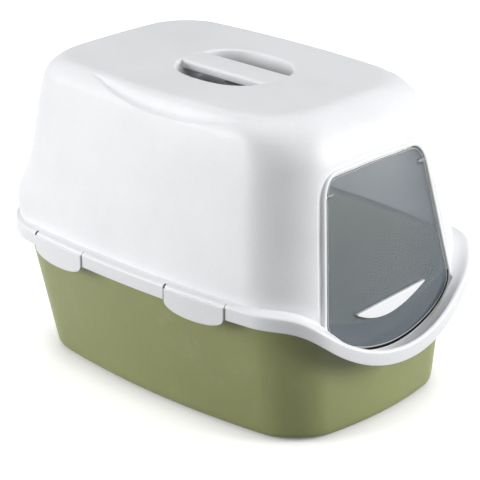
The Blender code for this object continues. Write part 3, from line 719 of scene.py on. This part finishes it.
def smoked_material(name, colour, alpha, roughness):
    """Smoke-tinted clear plastic: a thin grey body, hairline scratches and faint smears in the gloss."""
    material = bpy.data.materials.new(name)
    material.use_nodes = True
    nodes, links = material.node_tree.nodes, material.node_tree.links
    surface = nodes["Principled BSDF"]
    place = nodes.new("ShaderNodeTexCoord").outputs["Object"]
    cloud = noise(nodes, links, place, 9.0, 3.0)
    tone = ramp(nodes, links, cloud, [(0.3, shade(colour, 0.93)), (0.7, shade(colour, 1.06))])
    links.new(tone, surface.inputs["Base Color"])
    scratch = noise(nodes, links, place, 130.0, 6.0, 0.75, (1.0, 1.0, 9.0))
    smear = noise(nodes, links, place, 24.0, 4.0, 0.6)
    scratched = ramp(nodes, links, scratch, [(0.5, roughness), (0.72, roughness + 0.12)])
    smeared = ramp(nodes, links, smear, [(0.4, roughness), (0.75, roughness + 0.10)])
    rough = mixed(nodes, links, 0.5, scratched, smeared)
    links.new(rough, surface.inputs["Roughness"])
    bump = nodes.new("ShaderNodeBump")
    bump.inputs["Strength"].default_value = 0.02
    bump.inputs["Distance"].default_value = 0.0004
    links.new(cloud, bump.inputs["Height"])
    links.new(bump.outputs["Normal"], surface.inputs["Normal"])
    surface.inputs["Alpha"].default_value = alpha
    surface.inputs["Specular IOR Level"].default_value = 0.22
    return material


WHITE = (0.80, 0.81, 0.83)
WHITE_WORN = (0.87, 0.87, 0.87)
DUST = (0.70, 0.69, 0.66)
GREEN = (0.264, 0.286, 0.110)
GREEN_WORN = (0.42, 0.45, 0.25)
SMOKE = (0.160, 0.188, 0.222)
SLIT_SHADE = (0.20, 0.21, 0.23)    # painted shade on the thin slits' faces
MARK_SHADE = (0.60, 0.61, 0.63)    # painted shade on the thumb marks
WELL_PAINTED_SHADE = (HEIGHT - 0.004, HEIGHT - 0.024, 0.42)    # painted shade in the handle well: from, to, tone left

white = moulded_plastic("white_hood_plastic", WHITE, 0.44, wear=WHITE_WORN, dust=DUST)
painted_shade_well_material = moulded_plastic("white_well_painted_shade", WHITE, 0.44, dust=DUST, depth_shade=WELL_PAINTED_SHADE)
painted_shade_slit_material = moulded_plastic("grey_slit_painted_shade", SLIT_SHADE, 0.6)
painted_shade_mark_material = moulded_plastic("grey_thumb_mark_painted_shade", MARK_SHADE, 0.45)
clip_white = moulded_plastic("white_clip_plastic", WHITE, 0.40, grain=0.10, wear=WHITE_WORN)
trim_white = moulded_plastic("white_trim_plastic", WHITE, 0.34, grain=0.06, cloud=0.03, wear=WHITE_WORN)
cover_white = moulded_plastic("white_cover_plastic", WHITE, 0.48, grain=0.12, dust=DUST)
green = moulded_plastic("olive_tray_plastic", GREEN, 0.42, grain_mm=0.6, grain=0.05, cloud=0.07,
                        wear=GREEN_WORN, dust=(0.44, 0.45, 0.30))
smoke = smoked_material("smoked_clear_plastic", SMOKE, 0.62, 0.10)
# a lighter, denser smoke: painted highlight where the door's edge catches light
smoke_painted_highlight = smoked_material("smoked_edge_painted_highlight", (0.50, 0.50, 0.48), 0.90, 0.18)
smoke_knuckle = smoked_material("smoked_plastic_knuckle", (0.30, 0.31, 0.32), 0.60, 0.20)
felt = felt_material("charcoal_felt", (0.03, 0.03, 0.032))
# black painted shadow for the dark gap under the door
sill_painted_shadow = moulded_plastic("black_sill_painted_shadow", (0.012, 0.012, 0.013), 0.85, grain_mm=0.6, grain=0.3, cloud=0.1)
rubber = moulded_plastic("foot_rubber", (0.060, 0.045, 0.035), 0.80, grain_mm=0.6, grain=0.4, cloud=0.2)


# ---------------------------------------------------------------- the hood
DOOR_CUT = 0.0038                # the doorway is cut this far outside the door, under the surround
DOORWAY_BACK, DOORWAY_FRONT = -0.016, 0.006      # how far the doorway's cut reaches off the door's plane
SILL_GAP = 0.0012                # extra air under the door's lower edge
GROOVE_OFFSET = 0.0118
GROOVE_RADIUS = 0.0046
GROOVE_DEPTH = 0.0007
NOTCH_SLIT = 0.0008
NOTCH_TOP = CLIP_TOP - 0.0010    # the clip's root runs into the skirt, so no seam shows above it
SLIT_TOP = SKIRT_BOTTOM + SKIRT_HEIGHT + 0.0014
REAR_SLIT = 0.0034
NOTCH_HALF_X, SLIT_HALF_X = 0.006, 0.0062
VENT_XS = (-0.034, -0.017, 0.0, 0.017, 0.034)
VENT_HALF_X, VENT_REACH = 0.0022, 0.042


def doorway_half(grow, fine=4):
    """The door's outline grown all round, and further below the door."""
    half = door_half(grow, fine)
    loop = mirrored_loop(half)
    normals = outward_normals(loop)[:len(half)]
    extra = [SILL_GAP * (1.0 - float(smoothstep(0.120, 0.170, p[1]))) for p in half]
    return [p + n * e for p, n, e in zip(half, normals, extra)]


def wall_front_y(x, z):
    """Y of the hood's front wall at X and height Z."""
    half = half_outline(wall_section(z))
    front = half[half[:, 1] < -0.10][::-1]
    return float(np.interp(abs(x), front[:, 0], front[:, 1]))


def groove_cutter():
    """A shallow round groove up both sides of the doorway and, fainter, over its top."""
    half = [p for p in door_half(GROOVE_OFFSET, 5) if p[1] > 0.170]
    line = [Vector((-p[0], p[1])) for p in reversed(half[1:])] + half
    points = []
    for p in line:
        fade = float(smoothstep(0.171, 0.200, p[1])) * (1.0 - 0.75 * float(smoothstep(0.262, 0.296, p[1])))
        lift = GROOVE_RADIUS - GROOVE_DEPTH * fade
        points.append(Vector((p[0], wall_front_y(p[0], p[1]) - lift, p[1])))
    loops = []
    sides = 14
    for i, point in enumerate(points):
        ahead = points[min(i + 1, len(points) - 1)] - points[max(i - 1, 0)]
        across = ahead.cross(Vector((0, 1, 0))).normalized()
        over = ahead.cross(across).normalized()
        loops.append([point + (across * math.cos(a) + over * math.sin(a)) * GROOVE_RADIUS
                      for a in (2 * math.pi * k / sides for k in range(sides))])
    return swept(points, lambda i: loops[i], closed=False)


def clip_matrix(side, centre_y):
    """Places something made at the origin on the rim's side, turned with its bow."""
    x = edge_point_x(RIM, centre_y)
    step = 0.001
    slope = (edge_point_x(RIM, centre_y + step) - edge_point_x(RIM, centre_y - step)) / (2 * step)
    turn = math.atan2(1.0, side * slope) - math.pi / 2
    return Matrix.Translation((side * x, centre_y, 0.0)) @ Matrix.Rotation(turn, 4, "Z")


def hood_cutters():
    """The doorway, the groove, the notches behind the clips and the vents in the well."""
    opening = mirrored_loop(doorway_half(DOOR_CUT))
    cutters = [plate_mesh(opening, DOORWAY_BACK, DOORWAY_FRONT, on_door_plane)]
    cutters.append(groove_cutter())
    half = CLIP_LENGTH / 2
    low = SKIRT_BOTTOM - 0.02
    for side in (-1, 1):
        for centre_y in CLIP_CENTRES.values():
            notch = box_mesh((-NOTCH_HALF_X, -half - NOTCH_SLIT, low),
                             (NOTCH_HALF_X, half + REAR_SLIT, NOTCH_TOP))
            notch.transform(clip_matrix(side, centre_y))
            cutters.append(notch)
    floor_z = HEIGHT - WELL_DEPTH
    for x in VENT_XS:
        reach = VENT_REACH - 0.5 * abs(x)
        cutters.append(box_mesh((x - VENT_HALF_X, WELL_Y - reach, floor_z - 0.006),
                                (x + VENT_HALF_X, WELL_Y + reach, floor_z + 0.002), 0.001, segments=2))
    return cutters


def slit_cutters():
    """The slits beside the clips, which reach up through the skirt's rounded edge."""
    cutters = []
    half = CLIP_LENGTH / 2
    for side in (-1, 1):
        for centre_y in CLIP_CENTRES.values():
            for low_y, high_y in ((-half - NOTCH_SLIT, -half), (half, half + REAR_SLIT)):
                slit = box_mesh((-SLIT_HALF_X, low_y, NOTCH_TOP - 0.003), (SLIT_HALF_X, high_y, SLIT_TOP))
                slit.transform(clip_matrix(side, centre_y))
                cutters.append(slit)
    return cutters


WELL_INDEX, SLIT_INDEX = 1, 2    # material slots on the hood for the painted shade in the well and on the slits
WELL_LOW, WELL_HIGH = HEIGHT - WELL_DEPTH - WALL - 0.001, HEIGHT - 0.0030
SLIT_REACH = 0.002    # faces this near a slit's end are its own
SLIT_INNER_X = 0.17

hood = new_object("hood_shell", shell("hood_shell", hood_rows(), WALL), white)
combined(hood, joined(hood_cutters()), "DIFFERENCE")
combined(hood, joined(slit_cutters()), "DIFFERENCE")
# faces inside the handle well take a painted shade that darkens with depth
hood.data.materials.append(painted_shade_well_material)
for face in hood.data.polygons:
    across = abs(face.center.x) / WELL_HALF_X
    along = abs(face.center.y - WELL_Y) / WELL_HALF_Y
    if across < 1.0 and along < 1.0 and WELL_LOW < face.center.z < WELL_HIGH:
        face.material_index = WELL_INDEX
# the end faces of the slits beside the clips take a dark painted shade
hood.data.materials.append(painted_shade_slit_material)
for face in hood.data.polygons:
    if abs(face.normal.y) < 0.8 or abs(face.center.x) < SLIT_INNER_X or face.center.z > SLIT_TOP + 0.001:
        continue
    for centre_y in CLIP_CENTRES.values():
        past = face.center.y - centre_y
        beyond_rear = abs(past - CLIP_LENGTH / 2 - REAR_SLIT)
        beyond_front = abs(past + CLIP_LENGTH / 2 + NOTCH_SLIT)
        if min(beyond_rear, beyond_front) < SLIT_REACH:
            face.material_index = SLIT_INDEX
smooth(hood, 38.0)
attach(hood, "hood")

BAR_EDGE = 0.0034
BAR_UNDER_EDGE = 0.0014
BAR_THICK = 0.0112
bar_top = HEIGHT - 0.00008
bar_reach = WELL_HALF_Y + WELL_EDGE + 0.0012


def rounded_bar():
    """The handle's bar: a rounded section, slightly waisted in the middle, along Y."""
    corners = ((1, 1), (-1, 1), (-1, -1), (1, -1))
    loops = []
    stations = [WELL_Y + bar_reach * s / 12 for s in range(-12, 13)]
    for y in stations:
        share = abs(y - WELL_Y) / bar_reach
        half_x = BRIDGE_HALF_X - 0.0008 + 0.0008 * share ** 4
        low = bar_top - BAR_THICK
        loop = []
        for k, (sx, sz) in enumerate(corners):
            radius = BAR_EDGE if sz > 0 else BAR_UNDER_EDGE
            cx = sx * (half_x - radius)
            cz = bar_top - radius if sz > 0 else low + radius
            for degrees in (0, 22.5, 45, 67.5, 90):
                angle = math.radians(k * 90 + degrees)
                loop.append(Vector((cx + radius * math.cos(angle), y, cz + radius * math.sin(angle))))
        loops.append(loop)
    return swept(stations, lambda i: loops[i], closed=False)


bar = smooth(new_object("handle_bar", rounded_bar(), white), 40.0)
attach(bar, "hood")


def surround_mesh():
    """The raised band round the doorway; it is highest beside the door and flush under it."""
    path = mirrored_loop(doorway_half(DOOR_CLEARANCE))
    normals = outward_normals(path)
    section = ((0.0, -0.0090, 0), (0.0, 0.0, 0.2), (0.00025, 0.0002, 0.65), (0.0009, 0.0004, 0.95),
               (0.0016, 0.0004, 1.0), (0.0030, 0.0004, 1.0), (0.0040, 0.0003, 0.8),
               (0.0047, 0.0, 0.35), (0.0052, -0.0004, 0.0), (0.0054, -0.0028, 0), (0.0012, -0.0090, 0))

    def loop_at(i):
        point, normal = path[i], normals[i]
        beside = float(smoothstep(0.112, 0.150, point[1]))
        rise = 0.0003 + 0.0014 * beside
        spread = 0.45 + 0.75 * beside
        return [on_door_plane(*(point + normal * u * spread), w + rise * k) for u, w, k in section]

    return swept(path, loop_at)


SILL_SHADOW_TOP = 0.165                 # the black painted shadow lines the surround's return below this height
surround = smooth(new_object("door_surround", surround_mesh(), white), 45.0)
# the return's faces under the door take the black painted shadow, where the gap is dark
surround.data.materials.append(sill_painted_shadow)
for face in surround.data.polygons:
    centre = face.center
    inside = abs(face.normal.y) < 0.6 and front_plane_y(centre.z) < centre.y - 0.0012
    if inside and centre.z < SILL_SHADOW_TOP:
        face.material_index = 1
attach(surround, "hood")
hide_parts("hood")

# ---------------------------------------------------------------- the tray
tray = new_object("tray_shell", shell("tray_shell", tray_rows(), WALL), green)
smooth(tray, 45.0)
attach(tray, "base")
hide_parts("tray")

# ---------------------------------------------------------------- door, bead, knuckles and grip
door_loop = mirrored_loop(door_half())
door = new_object("door_panel", plate_mesh(door_loop, -DOOR_THICK - GAP, -GAP, on_door_plane), smoke)
soft_edges(smooth(door), 0.0005)
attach(door, "door")
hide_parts("door")


def bead_mesh(inset, radius, sides=8):
    """A round bead moulded along the door's edge."""
    path = mirrored_loop(door_half())
    normals = outward_normals(path)

    def loop_at(i):
        point = path[i] - normals[i] * inset
        loop = []
        for k in range(sides):
            angle = 2 * math.pi * k / sides
            loop.append(on_door_plane(*(point + normals[i] * radius * math.cos(angle)),
                                      -GAP + 0.0001 + radius * math.sin(angle)))
        return loop

    return swept(path, loop_at)


# the bead's lighter smoke is a painted highlight along the door's edge
bead = smooth(new_object("door_edge_bead", bead_mesh(0.0008, 0.0007), smoke_painted_highlight), 60.0)
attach(bead, "door")


def barrel_mesh(radius, length, centre, segments=32, bevel=0.0004):
    """A barrel along X with softened ends."""
    mesh = bpy.data.meshes.new("barrel")
    build = bmesh.new()
    bmesh.ops.create_cone(build, cap_ends=True, segments=segments, radius1=radius, radius2=radius,
                          depth=length)
    rims = [e for e in build.edges if abs(e.verts[0].co.z - e.verts[1].co.z) < 1e-6]
    bmesh.ops.bevel(build, geom=rims, offset=bevel, segments=3, profile=0.5, affect="EDGES")
    bmesh.ops.rotate(build, matrix=Matrix.Rotation(math.pi / 2, 3, "Y"), verts=build.verts)
    bmesh.ops.translate(build, vec=centre, verts=build.verts)
    build.to_mesh(mesh)
    build.free()
    return mesh


KNUCKLE_LENGTH = 0.010
KNUCKLE_RADIUS = 0.0030
for side, label in ((-1, "left"), (1, "right")):
    centre = hinge_axis() + Vector((side * (DOOR_HALF_TOP - 0.0016 - KNUCKLE_LENGTH / 2), 0, 0))
    knuckle = new_object("door_knuckle_" + label, barrel_mesh(KNUCKLE_RADIUS, KNUCKLE_LENGTH, centre),
                         smoke_knuckle)
    smooth(knuckle)
    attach(knuckle, "door")


PIN_START, PIN_END = 0.0755, 0.0935      # a pin's ends from the middle; the outer one is inside the hood
for side, label in ((-1, "left"), (1, "right")):
    centre = hinge_axis() + Vector((side * (PIN_START + PIN_END) / 2, 0, 0))
    barrel = barrel_mesh(PIN_RADIUS, PIN_END - PIN_START, centre, 24, 0.0003)
    pin = new_object("hinge_pin_visual_" + label, barrel, trim_white)
    smooth(pin)
    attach(pin, "hood")
    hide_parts("hinge_pin_" + label)


def grip_outline(count=40):
    """A half-moon with its straight side up, slightly slanted."""
    upper = []
    lower = []
    for i in range(count + 1):
        share = 2.0 * i / count - 1.0
        x = GRIP_HALF_X * share
        z = GRIP_TOP + GRIP_SLANT * share
        upper.append((x, z))
        belly = (1.0 - share * share) * (0.90 - 0.22 * share)
        lower.append((x, z - GRIP_TIP - (GRIP_DEPTH - GRIP_TIP) * belly))
    return upper + lower[::-1]


grip = new_object("door_grip_pad", plate_mesh(grip_outline(), 0.0, GRIP_THICK, on_door_plane), trim_white)
soft_edges(smooth(grip), 0.0007)
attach(grip, "door")
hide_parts("door_grip")


# ---------------------------------------------------------------- clips
def clip_mesh(side, centre_y):
    """The inner face of a D-shaped tab along the rim's bow; its wall is grown outwards."""
    count, levels = 48, 10
    build = bmesh.new()
    grid = []
    for i in range(count + 1):
        share = 2.0 * i / count - 1.0
        y = centre_y + share * CLIP_LENGTH / 2
        x = edge_point_x(RIM, y)
        drop = CLIP_DROP * math.sqrt(max(0.0, 1.0 - abs(share) ** 2.2))
        low = SKIRT_BOTTOM - drop
        grid.append([build.verts.new((side * x, y, CLIP_TOP + (low - CLIP_TOP) * k / levels))
                     for k in range(levels + 1)])
    for a, b in zip(grid, grid[1:]):
        for k in range(levels):
            if side < 0:
                build.faces.new((a[k], a[k + 1], b[k + 1], b[k]))
            else:
                build.faces.new((a[k], b[k], b[k + 1], a[k + 1]))
    mesh = bpy.data.meshes.new("clip")
    build.to_mesh(mesh)
    build.free()
    return mesh


def thumb_mark(side, centre_y):
    """A fine oval line round the clip's middle, covered by the tab's wall."""
    middle_z, half_y, half_z, radius, sides = 0.1690, 0.0130, 0.0070, 0.0007, 6
    path = [2 * math.pi * k / 48 for k in range(48)]

    def loop_at(i):
        loop = []
        for k in range(sides):
            angle = 2 * math.pi * k / sides
            grow = radius * math.cos(angle)
            y = centre_y + (half_y + grow) * math.cos(path[i])
            z = middle_z + (half_z + grow) * math.sin(path[i])
            loop.append(Vector((side * (edge_point_x(RIM, y) + radius * math.sin(angle)), y, z)))
        return loop

    return swept(path, loop_at)


for side, side_name in ((-1, "left"), (1, "right")):
    for end_name, centre_y in CLIP_CENTRES.items():
        label = end_name + "_" + side_name
        body = "clip_" + end_name[0] + side_name[0]
        clip = new_object("clip_tab_" + label, clip_mesh(side, centre_y), clip_white)
        wall = clip.modifiers.new("wall", "SOLIDIFY")
        wall.thickness = WALL
        wall.offset = -1.0
        soft_edges(smooth(clip), 0.0005)
        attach(clip, body)
        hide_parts("clip_" + label)
        # the thumb mark's grey is painted shade
        mark = smooth(new_object("clip_thumb_mark_" + label, thumb_mark(side, centre_y), painted_shade_mark_material), 60.0)
        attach(mark, body)

# ---------------------------------------------------------------- CAD pieces that keep their shape
KEPT = {
    "filter_cover": (cover_white, 0.0004),
    "filter_pad": (felt, 0.0),
}
for name, (material, edge_width) in KEPT.items():
    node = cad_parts[name]
    node.data.materials.clear()
    node.data.materials.append(material)
    if edge_width > 0.0:
        soft_edges(node, edge_width, 2)

# ---------------------------------------------------------------- the feet
FOOT_X, FOOT_Y = 0.119, 0.187
FOOT_HEIGHT = 0.0030 - GAP
FOOT_ROOT = 0.0085
FOOT_SOLE = 0.0080
FOOT_EDGE = 0.0006


def foot_mesh(centre):
    """A round rubber foot with a softened, slightly narrower sole."""
    mesh = bpy.data.meshes.new("foot")
    build = bmesh.new()
    bmesh.ops.create_cone(build, cap_ends=True, segments=48, radius1=FOOT_SOLE, radius2=FOOT_ROOT,
                          depth=FOOT_HEIGHT)
    sole = [e for e in build.edges if e.verts[0].co.z < 0.0 and e.verts[1].co.z < 0.0]
    bmesh.ops.bevel(build, geom=sole, offset=FOOT_EDGE, segments=3, profile=0.5, affect="EDGES")
    bmesh.ops.translate(build, vec=centre, verts=build.verts)
    build.to_mesh(mesh)
    build.free()
    return mesh


for side, side_name in ((-1, "left"), (1, "right")):
    for end, end_name in ((-1, "front"), (1, "rear")):
        label = end_name + "_" + side_name
        place = Vector((side * FOOT_X, end * FOOT_Y, FOOT_HEIGHT / 2))
        foot = smooth(new_object("foot_pad_" + label, foot_mesh(place), rubber))
        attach(foot, "base")
        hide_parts("foot_" + label)

# ---------------------------------------------------------------- floor, lights and camera
FLOOR_HALF = 8
floor_mesh = bpy.data.meshes.new("floor")
floor_corners = [(-FLOOR_HALF, -FLOOR_HALF, 0), (FLOOR_HALF, -FLOOR_HALF, 0), (FLOOR_HALF, FLOOR_HALF, 0),
                 (-FLOOR_HALF, FLOOR_HALF, 0)]
floor_mesh.from_pydata(floor_corners, [], [(0, 1, 2, 3)])
floor_material = bpy.data.materials.new("floor")
floor_material.use_nodes = True
floor_surface = floor_material.node_tree.nodes["Principled BSDF"]
floor_surface.inputs["Base Color"].default_value = (0.90, 0.90, 0.90, 1.0)
floor_surface.inputs["Roughness"].default_value = 0.9
floor_surface.inputs["Specular IOR Level"].default_value = 0.1
floor_nodes, floor_links = floor_material.node_tree.nodes, floor_material.node_tree.links
# painted contact shadow: the floor's glow dims where ambient occlusion finds the object near
contact = floor_nodes.new("ShaderNodeAmbientOcclusion")
contact.samples = 16
contact.inputs["Distance"].default_value = 0.036
contact_painted_shadow = ramp(floor_nodes, floor_links, contact.outputs["AO"], [(0.35, 0.45), (0.97, 1.0)])
floor_links.new(contact_painted_shadow, floor_surface.inputs["Emission Color"])
floor_material.cycles.emission_sampling = "NONE"
floor = new_object("floor", floor_mesh, floor_material)
floor.visible_diffuse = False


def area_light(name, place, aim, size, watts, colour=(1.0, 1.0, 1.0)):
    """A softbox that shows only by its light."""
    data = bpy.data.lights.new(name, "AREA")
    data.shape = "RECTANGLE"
    data.size, data.size_y = size
    data.energy = watts
    data.color = colour
    lamp = bpy.data.objects.new(name, data)
    bpy.context.scene.collection.objects.link(lamp)
    lamp.location = place
    lamp.rotation_euler = (Vector(aim) - Vector(place)).to_track_quat("-Z", "Y").to_euler()
    lamp.visible_camera = False
    return lamp


LEFT_WATTS = 70.0
FRONT_WATTS = 74.0
TOP_WATTS = 31.0
FILL_WATTS = 10.0
REAR_WATTS = 40.0
GLOW_WATTS = 1.0
AMBIENT = 0.11
FLOOR_GLOW = 0.44
area_light("left_softbox", (-2.3, 1.5, 0.9), (0.0, 0.05, 0.15), (1.8, 1.4), LEFT_WATTS)
area_light("front_softbox", (1.5, -2.3, 0.9), (0.0, -0.1, 0.15), (1.5, 1.4), FRONT_WATTS)
area_light("overhead_softbox", (0.3, 0.3, 2.6), (0.0, 0.0, 0.2), (2.4, 2.4), TOP_WATTS)
area_light("fill_softbox", (-0.8, -1.6, 1.9), (0.0, -0.1, 0.25), (1.2, 1.0), FILL_WATTS)
rear = area_light("rear_softbox", (2.3, 2.1, 0.5), (0.0, 0.0, 0.15), (1.6, 0.8), REAR_WATTS)
rear.visible_glossy = False
area_light("cabin_glow", (0.0, -0.150, 0.300), (0.0, 0.25, 0.16), (0.12, 0.06), GLOW_WATTS)
floor_surface.inputs["Emission Strength"].default_value = FLOOR_GLOW

bpy.context.scene.view_settings.view_transform = "Standard"

world = bpy.data.worlds.new("studio")
bpy.context.scene.world = world
world.use_nodes = True
world_nodes, world_links = world.node_tree.nodes, world.node_tree.links
ambient = world_nodes["Background"]
ambient.inputs["Color"].default_value = (1.0, 1.0, 1.0, 1.0)
ambient.inputs["Strength"].default_value = AMBIENT
backdrop = world_nodes.new("ShaderNodeBackground")
backdrop.inputs["Color"].default_value = (1.0, 1.0, 1.0, 1.0)
backdrop.inputs["Strength"].default_value = 1.0
seen = world_nodes.new("ShaderNodeLightPath")
either = world_nodes.new("ShaderNodeMixShader")
world_links.new(seen.outputs["Is Camera Ray"], either.inputs[0])
world_links.new(ambient.outputs[0], either.inputs[1])
world_links.new(backdrop.outputs[0], either.inputs[2])
world_links.new(either.outputs[0], world_nodes["World Output"].inputs["Surface"])

CAMERA_LENS = 156.26
CAMERA_PLACE = (-1.755850, -1.718228, 1.173603)
CAMERA_TURN = (1.1815393, 0.0077626, -0.7991987)
camera_data = bpy.data.cameras.new("camera")
camera_data.lens = CAMERA_LENS
camera_data.sensor_width = 36.0
camera_data.clip_end = 50.0
camera = bpy.data.objects.new("camera", camera_data)
bpy.context.scene.collection.objects.link(camera)
camera.location = CAMERA_PLACE
camera.rotation_euler = CAMERA_TURN
bpy.context.scene.camera = camera

bpy.context.view_layer.update()
